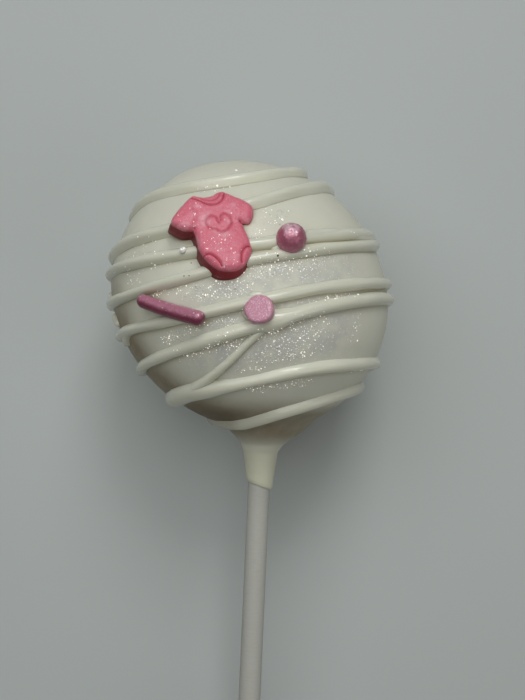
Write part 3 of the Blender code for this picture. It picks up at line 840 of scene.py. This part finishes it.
CAST_FROM = 30.0                # millimetres out from the ball's middle
SUIT_CAST_FROM = 5.0            # above the bodysuit's face
SUIT_LEVEL = 0.6                # glitter stays only where the face is this level


def dropped(surface, way):
    """Where a thing falls on the coating from outside, and the surface's normal there."""
    spot, normal, _, _ = surface.ray_cast(Vector(way) * CAST_FROM, -Vector(way))
    return np.array(spot), np.array(normal)


def plates(places, normals, sizes, draw):
    """Points and faces of slim plates that lie at places, tilted at random."""
    count = PLATE_SIDES
    turns = bearings_round(count)
    faces = [tuple(range(count)), tuple(range(2 * count - 1, count - 1, -1))]
    faces += [(i, i + count, (i + 1) % count + count, (i + 1) % count) for i in range(count)]
    shapes = []
    for place, normal in zip(places, normals):
        radius = min(sizes[2], sizes[0] + draw.exponential(sizes[1]))
        tilted = Vector(normal + PLATE_RISE + draw.normal(0, PLATE_TILT, 3)).normalized()
        turn = np.array(tilted.to_track_quat("Z", "Y").to_matrix())
        flat = np.stack([radius * np.cos(turns), radius * np.sin(turns), 0 * turns], axis=1)
        sides = [(flat + (0, 0, z)) @ turn.T + place for z in PLATE_FACES]
        shapes.append((np.concatenate(sides), faces))
    return joined(shapes)


def build_glitter(finish):
    """Edible silver glitter, in the bands where it was shaken on while the coating was wet."""
    draw = np.random.default_rng(7)
    coated = surface_of("candy_coating", "upper_drizzle", "lower_drizzle", "drizzle_branches")
    places, normals = [], []
    for bearing, latitude, half_width, half_height, count in GLITTER:
        for _ in range(int(count * GLITTER_SHARE)):
            out = draw.random() ** GLITTER_CROWDING
            way = draw.random() * 2 * pi
            across = half_width * out * cos(way) * GLITTER_SPREAD
            up = half_height * out * sin(way) * GLITTER_SPREAD + across * GLITTER_SLOPE
            place, normal = dropped(coated, ways_to(bearing + across, latitude + up))
            on_strand = place @ BALL_FORM @ place > 1 + 2 * GLITTER_STRAND_LIFT / BALL_DEEP
            if on_strand and draw.random() > GLITTER_ON_STRANDS:
                continue
            if places and np.linalg.norm(np.array(places) - place, axis=1).min() < GLITTER_APART:
                continue
            places.append(place)
            normals.append(normal)
    add_piece("silver_glitter", plates(places, normals, GLITTER_SIZES, draw), finish)


def build_suit_glitter(finish):
    """The finer glitter on the bodysuit."""
    draw = np.random.default_rng(11)
    suit = surface_of("bodysuit")
    turn = suit_place()
    down = turn.to_3x3() @ Vector((0, 0, -1))
    places, normals = [], []
    for (x, y), spread, count in SUIT_GLITTER:
        for _ in range(count):
            start = turn @ Vector((x + draw.normal(0, spread), y + draw.normal(0, spread),
                                   SUIT_CAST_FROM))
            spot, normal, _, _ = suit.ray_cast(start, down)
            if spot is not None and normal.dot(down) < -SUIT_LEVEL:
                places.append(np.array(spot))
                normals.append(np.array(normal))
    add_piece("bodysuit_glitter", plates(places, normals, SUIT_GLITTER_SIZES, draw), finish,
              "candy_bodysuit")


def build_fallen(name, things, profile, sides, lift, finish):
    """Small things of one profile where they fell on the coating, lifted a share of their size."""
    coated = surface_of("candy_coating", "upper_drizzle", "lower_drizzle")
    shapes = []
    for spot, size, dimples in things:
        place, normal = dropped(coated, ways_to(*spot))
        points, faces = turned([(size * out, size * up) for out, up in profile], sides)
        lay = standing(place + normal * size * lift, normal)
        shapes.append((moved(lay, dimpled(points, *dimples)), faces))
    add_piece(name, joined(shapes), finish)


# Materials

def maths(operation, swapped=False):
    """An operator on values that adds a Math node."""
    def work_out(value, other):
        first, second = (other, value) if swapped else (value, other)
        return value.finish.node("ShaderNodeMath", {"operation": operation}, {0: first, 1: second})
    return work_out


class Value:
    """A socket of a material's node, so that shader maths reads as Python expressions."""

    def __init__(self, finish, socket):
        self.finish, self.socket = finish, socket

    __add__ = __radd__ = maths("ADD")
    __sub__, __rsub__ = maths("SUBTRACT"), maths("SUBTRACT", swapped=True)
    __mul__ = __rmul__ = maths("MULTIPLY")


class Finish:
    """A material being made for a piece of the pop, with the colour that it has so far."""

    def __init__(self, name, constants=None):
        self.material = bpy.data.materials.new(name)
        self.material.use_nodes = True
        self.tree = self.material.node_tree
        self.shader = self.tree.nodes["Principled BSDF"]
        for socket, value in (constants or {}).items():
            self.shader.inputs[socket].default_value = value
        self.place = self.node("ShaderNodeMapping", inputs={
            "Vector": self.node("ShaderNodeTexCoord", output="Object"),
            "Location": (0, -LIE_HEIGHT * sin(LIE_ANGLE), -LIE_HEIGHT * cos(LIE_ANGLE)),
            "Rotation": (-LIE_ANGLE, 0, 0),
            "Scale": (1 / MM,) * 3,
        })
        self.x, self.y, self.z = (
            self.node("ShaderNodeSeparateXYZ", inputs={0: self.place}, output=k) for k in range(3))

    def node(self, kind, settings=None, inputs=None, output=0):
        """One output of a new node, its settings made first and then its inputs."""
        node = self.tree.nodes.new(kind)
        for name, value in (settings or {}).items():
            setattr(node, name, value)
        for name, value in (inputs or {}).items():
            if isinstance(value, Value):
                self.tree.links.new(value.socket, node.inputs[name])
            else:
                node.inputs[name].default_value = value
        return Value(self, node.outputs[output])

    def vector(self, operation, *vectors, output="Vector"):
        """A vector from others, or a number where the output is Value."""
        return self.node("ShaderNodeVectorMath", {"operation": operation},
                         dict(enumerate(vectors)), output)

    def surface_way(self):
        """The direction that the surface faces."""
        return self.node("ShaderNodeTexCoord", output="Normal")

    def noise(self, scale, detail=2.0, rough=0.5, place=None):
        """Noise from 0 to 1, with so many lumps to a millimetre."""
        return self.node("ShaderNodeTexNoise", {"noise_dimensions": "3D"}, {
            "Vector": place or self.place, "Scale": scale, "Detail": detail, "Roughness": rough})

    def flecks(self, scale):
        """A random number from 0 to 1 for each small cell."""
        colour = self.node("ShaderNodeTexVoronoi", {"voronoi_dimensions": "3D"},
                           {"Vector": self.place, "Scale": scale}, output="Color")
        return self.node("ShaderNodeSeparateXYZ", inputs={0: colour})

    def step(self, value, low, high):
        """0 below low, 1 above high, and a smooth step between. Low may be the larger."""
        return self.node("ShaderNodeMapRange", {"interpolation_type": "SMOOTHSTEP"},
                         {"Value": value, "From Min": low, "From Max": high})

    def towards(self, *way):
        """How far the surface faces a way, from -1 to 1."""
        way = tuple(Vector(way).normalized())
        return self.vector("DOT_PRODUCT", self.surface_way(), way, output="Value")

    def mix(self, share, first, second):
        """A colour between two."""
        first, second = (c if isinstance(c, Value) else (*c, 1.0) for c in (first, second))
        return self.node("ShaderNodeMix", {"data_type": "RGBA"}, {0: share, 6: first, 7: second},
                         output=2)

    def paint(self, share, first, second):
        """Start with a colour between two."""
        self.colour = self.mix(share, first, second)

    def tint(self, share, colour):
        """Lay a share of a colour over what is there."""
        self.colour = self.mix(share, self.colour, colour)

    def bump(self, height, depth):
        """A normal from a height, whose full range is depth millimetres."""
        return self.node("ShaderNodeBump", inputs={"Height": height, "Distance": depth * MM})

    def feed(self, roughness, normal=None, metallic=None, glow=None):
        """The finished material, with what varies over the surface linked to its shader."""
        values = {"Base Color": self.colour, "Roughness": roughness, "Normal": normal,
                  "Metallic": metallic, "Emission Color": glow}
        for name, value in values.items():
            if value is not None:
                self.tree.links.new(value.socket, self.shader.inputs[name])
        return self.material


# How far the painted shade in creases reaches, and the way it leans so that it falls below the
# strands.
CREASE_REACH = 1.4
CREASE_LEAN = (-0.1, 0.6, 0.0)
SLOPE = 0.2                     # how far the strands and the dusted band rise to the right
UNLIT = (0.0, 0.0, 0.0)
IVORY_DEPTHS = (1.0, 0.85, 0.6)         # how deep red, green and blue light sink in
PINK_DEPTHS = (1.0, 0.35, 0.4)


def waxy(weight, depth, depths, shine):
    """Constants of a stuff that light sinks into, by up to depth millimetres."""
    return {"Subsurface Weight": weight, "Subsurface Scale": depth * MM,
            "Subsurface Radius": depths, "Specular IOR Level": shine}


def lift_off(finish):
    """Millimetres that a place stands off the ball's form."""
    (xx, xy, _), (_, yy, _), (_, _, zz) = (tuple(float(v) for v in row) for row in BALL_FORM)
    x, y, z = finish.x, finish.y, finish.z
    return (x * x * xx + x * y * (2 * xy) + y * y * yy + z * z * zz - 1) * (BALL_DEEP / 2)


def crease_shade(finish, lean=(0.0, 0.0, 0.0)):
    """A mask for painted shade: 1 deep in a corner between pieces of coating, 0 in the open, seen
    more to where it leans.
    """
    way = finish.vector("NORMALIZE", finish.vector("ADD", finish.surface_way(), lean))
    open_share = finish.node("ShaderNodeAmbientOcclusion", {"samples": 12},
                             {"Distance": CREASE_REACH * MM, "Normal": way}, output="AO")
    return finish.step(open_share, 0.82, 0.35)


def streaks(finish, around, across):
    """Noise drawn out along the strands, with so many lumps to a turn and to a millimetre."""
    flat = finish.vector("MULTIPLY", finish.place, (1, 0, 1))
    ring = finish.vector("MULTIPLY", finish.vector("NORMALIZE", flat), (around,) * 3)
    rise = finish.node("ShaderNodeCombineXYZ", inputs={"Y": (finish.y - finish.x * SLOPE) * across})
    return finish.noise(1.0, 3.0, 0.55, finish.vector("ADD", ring, rise))


def coating_finish():
    """White candy coating on the ball: ivory, dusted grey where the glitter was shaken on."""
    finish = Finish("white_candy_coating", waxy(0.25, 1.2, IVORY_DEPTHS, 0.4))
    x, y, z, step = finish.x, finish.y, finish.z, finish.step
    tilt = y - x * SLOPE
    dusted = (step(tilt, -13.0, -9.0) * step(tilt, 6.5, 2.5) * step(z, 2.0, 9.0)
              * step(x, -11.0, -3.0) * step(x, 17.5, 12.5)
              * step(finish.noise(0.35, 3.0, 0.6), 0.3, 0.6))
    finish.paint(finish.noise(0.14, 3.0, 0.55), (0.73, 0.73, 0.62), (0.65, 0.65, 0.56))
    finish.tint(dusted * 0.9, (0.56, 0.56, 0.52))
    finish.tint(step(finish.flecks(7.0), 0.93, 0.97) * dusted, (0.95, 0.94, 0.90))
    # Painted shade: browner towards the lower left limb, partly a coat so slight there that the
    # cake shows through.
    ragged = z + finish.noise(0.35, 3.0) * 4.0 - 2.0
    thin_coat_and_shade = (step(y + x * 0.9, -13.0, -24.0) * step(z, 15.5, 8.5) * step(ragged, 1.8, 5.0)
            * step(y, -21.0, -18.0))
    # Painted shade, partly a coat so slight that the cake shows: browner on top of the foot, under
    # the lowest strand.
    under = step(y, -14.5, -18.5) * step(y, -24.0, -21.0)
    brown = finish.noise(0.5, 3.0) * 0.4 + 0.7
    finish.tint(thin_coat_and_shade * brown, (0.22, 0.16, 0.08))
    finish.tint(under * brown * 0.9, (0.22, 0.17, 0.09))
    # Painted shade: a dark brown line where the ball draws in to its foot, under the lowest strand.
    foot_shade_line = (step(y, -16.5, -18.6) * step(y, -21.0, -19.8)
                 * step(x, 2.0, -3.0) * step(z, -6.0, 0.0))
    finish.tint(foot_shade_line * 0.8, (0.12, 0.075, 0.03))
    # Painted shade in the creases between coating and strands, olive brown.
    finish.tint(crease_shade(finish, CREASE_LEAN) * 0.5, (0.40, 0.35, 0.20))
    finish.tint(step(y, -22.5, -25.0) * 0.7, (0.62, 0.62, 0.47))
    return finish.feed(finish.noise(0.8, 3.0) * 0.16 + 0.42,
                       normal=finish.bump(finish.noise(0.9, 4.0, 0.6), 0.04))


def drizzle_finish():
    """The piped coating: smooth and glossy, streaked along the strands, with browner painted shade
    at its foot and on its lower side.
    """
    finish = Finish("white_drizzle", waxy(0.3, 1.0, IVORY_DEPTHS, 0.55))
    step = finish.step
    along = streaks(finish, 2.6, 2.4)
    finish.paint(finish.noise(0.25, 3.0, 0.5), (0.73, 0.73, 0.62), (0.65, 0.66, 0.56))
    # Lighter streaks along the strands: partly the piping's own streaks, partly painted highlight.
    finish.tint(step(along, 0.45, 0.7) * 0.2, (0.85, 0.85, 0.77))
    # Painted shade: browner where the strand meets the ball.
    finish.tint(step(lift_off(finish), 0.5, 0.0) * 0.12, (0.55, 0.50, 0.35))
    # Painted shade: darker and yellower on the side of the strands that faces down, and browner in
    # the creases there.
    lower = step(finish.towards(0.1, -0.9, 0.4), 0.1, 0.9)
    finish.tint(lower * 0.2, (0.56, 0.53, 0.37))
    finish.tint(crease_shade(finish) * lower * 0.6, (0.42, 0.36, 0.20))
    # Painted shade: the low left end of the lowest strand, darker and greyer.
    low_end_shade = step(finish.y, -17.5, -19.0) * step(finish.x, 0.5, -2.5)
    finish.tint(low_end_shade * 0.7, (0.36, 0.34, 0.27))
    return finish.feed(along * 0.2 + 0.12, normal=finish.bump(along, 0.014))


def candy_finish():
    """Moulded pink candy: lustrous on top, paler in patches of lustre dust and painted sheen, with
    painted shade a deeper red in its grooves and down its walls.
    """
    finish = Finish("pink_candy", waxy(0.12, 0.5, PINK_DEPTHS, 0.4))
    step = finish.step
    deep = finish.node("ShaderNodeAttribute", {"attribute_name": "deep"}, output="Fac")
    wall = step(deep, 0.85, 1.0)
    finish.paint(finish.noise(2.5, 4.0, 0.65), (0.65, 0.11, 0.165), (0.74, 0.22, 0.30))
    # Paler frosty patches: lustre dust, partly painted sheen.
    finish.tint(step(finish.noise(0.45, 3.0, 0.6), 0.5, 0.72) * 0.55, (0.82, 0.47, 0.54))
    finish.tint(step(finish.flecks(9.0), 0.9, 1.0) * 0.4, (0.9, 0.5, 0.58))
    # Painted shade: a deeper red in the grooves and on the round edge, and a dark red down the
    # walls, their reflections tinted red too.
    finish.tint(step(deep, 0.2, 1.0) * 0.55, (0.36, 0.015, 0.035))
    finish.tint(wall * 0.85, (0.20, 0.002, 0.010))
    return finish.feed(finish.noise(2.0, 3.0) * 0.2 + 0.32, metallic=wall * 0.6,
                       normal=finish.bump(finish.noise(5.0, 4.0, 0.6), 0.025))


def pearl_finish():
    """Pearly pink sugar with painted highlight: its lustre dust whiter, mottled and glinting on the
    upper side.
    """
    finish = Finish("pearl_pink", {"Metallic": 0.25, "Specular IOR Level": 1.0})
    # Painted highlight: the upper side lighter and whiter, and its glints only there.
    upper = finish.step(finish.towards(-0.1, 0.6, 0.8), 0.72, 1.0)
    dust_and_sheen = finish.step(finish.noise(1.3, 3.0, 0.6), 0.35, 0.6)
    finish.paint(finish.noise(2.2, 4.0, 0.65), (0.32, 0.06, 0.11), (0.52, 0.18, 0.27))
    finish.tint(upper * (dust_and_sheen * 0.6 + 0.3), (0.92, 0.59, 0.70))
    finish.tint(finish.step(finish.flecks(5.0), 0.92, 1.0) * upper, (1.0, 0.9, 0.95))
    return finish.feed(finish.noise(3.0, 2.0) * 0.16 + 0.24,
                       normal=finish.bump(finish.noise(1.6, 3.0), 0.14))


def disc_finish():
    """Pressed pink sugar with a fine sparkle."""
    finish = Finish("confetti_pink", {"Specular IOR Level": 0.6})
    grain = finish.flecks(9.0)
    finish.paint(finish.noise(2.0, 3.0), (0.57, 0.215, 0.32), (0.68, 0.335, 0.44))
    finish.tint(finish.step(grain, 0.6, 0.95) * 0.55, (0.90, 0.68, 0.78))
    return finish.feed(finish.noise(5.0, 2.0) * 0.3 + 0.3,
                       metallic=finish.step(grain, 0.7, 1.0) * 0.25,
                       normal=finish.bump(grain, 0.04))


def rod_finish():
    """A pink sugar rod, lighter on the upper side with lustre dust and painted light, dark below as
    painted shade, with a few bright grains glinting only on top.
    """
    finish = Finish("rod_pink", {"Metallic": 0.25, "Specular IOR Level": 0.9})
    # Painted light: the upper side lighter, and its bright grains only there; the lower side stays
    # dark as painted shade.
    upper = finish.step(finish.towards(0.0, 0.75, 0.66), 0.15, 0.95)
    mottle = finish.noise(3.0, 4.0, 0.65)
    finish.paint(mottle, (0.15, 0.016, 0.042), (0.28, 0.058, 0.11))
    finish.tint(upper * (mottle * 0.8 + 0.4), (0.59, 0.24, 0.35))
    finish.tint(finish.step(finish.flecks(6.0), 0.96, 1.0) * upper * 0.9, (1.0, 0.80, 0.86))
    return finish.feed(finish.noise(4.0, 2.0) * 0.2 + 0.28,
                       normal=finish.bump(finish.noise(3.5, 2.0), 0.04))


def paper_finish():
    """White paper, its fibres lying round the stick."""
    finish = Finish("rolled_paper", {"Specular IOR Level": 0.3})
    fibres = finish.noise(1.6, 5.0, 0.65, finish.vector("MULTIPLY", finish.place, (0.5, 3.0, 0.5)))
    finish.paint(fibres, (0.43, 0.43, 0.395), (0.52, 0.52, 0.48))
    finish.tint(finish.step(finish.noise(0.6, 3.0), 0.55, 0.75) * 0.3, (0.43, 0.42, 0.37))
    return finish.feed(fibres * 0.15 + 0.62, normal=finish.bump(fibres, 0.05))


# Painted glints: name, glow strength, fleck value where glinting starts, dull and glinting colours,
# glow colour.
SILVER_FLAKES = ("silver_flakes", 0.75, 0.3, (0.72, 0.72, 0.69), (0.92, 0.91, 0.86),
                 (1.0, 0.95, 0.86))
PINK_LIT_FLAKES = ("pink_lit_flakes", 0.5, 0.2, (0.80, 0.42, 0.48), (0.95, 0.80, 0.80),
                   (1.0, 0.80, 0.80))


def flakes_finish(name, strength, low, dull, bright, light):
    """Silver flakes, some of which are painted as glints: brighter, and glowing."""
    finish = Finish(name, {"Emission Strength": strength})
    lit = finish.step(finish.flecks(2.5), low, 1.0)
    finish.paint(lit, dull, bright)
    return finish.feed(finish.noise(3.0, 1.0) * 0.1 + 0.25, glow=finish.mix(lit, UNLIT, light))


def bead_finish():
    """Clear sugar, its upper side glowing as a painted highlight."""
    finish = Finish("clear_sugar", {"Transmission Weight": 0.25, "Specular IOR Level": 0.8,
                                    "Emission Strength": 0.3})
    # Painted highlight: the upper side glows.
    upper = finish.step(finish.towards(0.1, 0.6, 0.8), 0.7, 0.95)
    finish.paint(finish.noise(4.0), (0.90, 0.90, 0.87), (0.97, 0.97, 0.95))
    return finish.feed(finish.noise(5.0) * 0.1 + 0.06,
                       glow=finish.mix(upper, UNLIT, (1.0, 0.98, 0.92)))


def speck_finish():
    """Dark brown specks."""
    finish = Finish("dark_brown_specks")
    finish.paint(finish.noise(6.0), (0.05, 0.035, 0.02), (0.14, 0.10, 0.06))
    return finish.feed(finish.noise(5.0) * 0.2 + 0.5)


def floor_finish():
    """A pale plain floor."""
    finish = Finish("pale_floor", {"Specular IOR Level": 0.3})
    finish.paint(finish.noise(0.012), (0.46, 0.495, 0.49), (0.50, 0.535, 0.53))
    return finish.feed(finish.noise(0.05) * 0.1 + 0.55)


# The studio

FLOOR_SIZE = 3.0
FLOOR_DROP = 0.0001
ROOM = (0.068, 0.064, 0.056, 1.0)
LIGHTS = [                      # name, way to it, distance, size, power, colour
    ("ceiling", (-0.20, 0.30, 0.93), 0.32, 0.36, 0.62, (0.98, 1.0, 0.99)),
    ("right", (0.70, -0.3, 0.65), 0.5, 0.3, 0.28, (1.0, 1.0, 1.0)),
    ("window", (0.12, 0.70, 0.70), 0.45, 0.16, 0.55, (1.0, 1.0, 0.98)),
]


def build_floor():
    """The floor that the pop lies on."""
    mesh = bpy.data.meshes.new("floor")
    work = bmesh.new()
    bmesh.ops.create_grid(work, x_segments=1, y_segments=1, size=FLOOR_SIZE / 2)
    work.to_mesh(mesh)
    work.free()
    floor = bpy.data.objects.new("floor", mesh)
    floor.location.z = -FLOOR_DROP
    bpy.context.scene.collection.objects.link(floor)
    mesh.materials.append(floor_finish())


def light_studio():
    """Square soft lights that look at the ball from ways in the pop's frame, in a dim room."""
    for name, way, distance, size, power, colour in LIGHTS:
        data = bpy.data.lights.new(name, "AREA")
        data.size, data.energy, data.color = size, power, colour
        light = bpy.data.objects.new(name, data)
        way = Matrix.Rotation(LIE_ANGLE, 3, "X") @ Vector(way).normalized()
        light.matrix_world = standing(Vector((0, 0, LIE_HEIGHT * MM)) + way * distance, way)
        bpy.context.scene.collection.objects.link(light)
    world = bpy.data.worlds.new("room")
    world.use_nodes = True
    world.node_tree.nodes["Background"].inputs["Color"].default_value = ROOM
    bpy.context.scene.world = world
    bpy.context.scene.view_settings.view_transform = "Standard"


def place_camera():
    """The camera, straight above the ball in the pop's frame."""
    data = bpy.data.cameras.new("camera")
    data.lens, data.clip_start, data.clip_end = CAMERA_LENS, 0.005, 10.0
    camera = bpy.data.objects.new("camera", data)
    turn = Matrix.Rotation(LIE_ANGLE, 4, "X") @ Matrix.Rotation(radians(CAMERA_ROLL), 4, "Z")
    camera.matrix_world = Matrix.Translation(in_place(np.array([CAMERA_PLACE]))[0]) @ turn
    bpy.context.scene.collection.objects.link(camera)
    bpy.context.scene.camera = camera


def main():
    """Every piece of the pop, the studio and the camera."""
    build_coating(coating_finish())
    build_drizzle(drizzle_finish())
    build_pearl(pearl_finish())
    build_disc(disc_finish())
    build_rod(rod_finish())
    build_bodysuit(candy_finish())
    build_stick(paper_finish())
    build_glitter(flakes_finish(*SILVER_FLAKES))
    build_suit_glitter(flakes_finish(*PINK_LIT_FLAKES))
    build_fallen("dark_specks", SPECKS, SPECK_PROFILE, SPECK_SIDES, 0.0, speck_finish())
    build_fallen("sugar_beads", BEADS, BEAD_PROFILE, BEAD_SIDES, BEAD_LIFT, bead_finish())
    build_floor()
    light_studio()
    place_camera()


main()
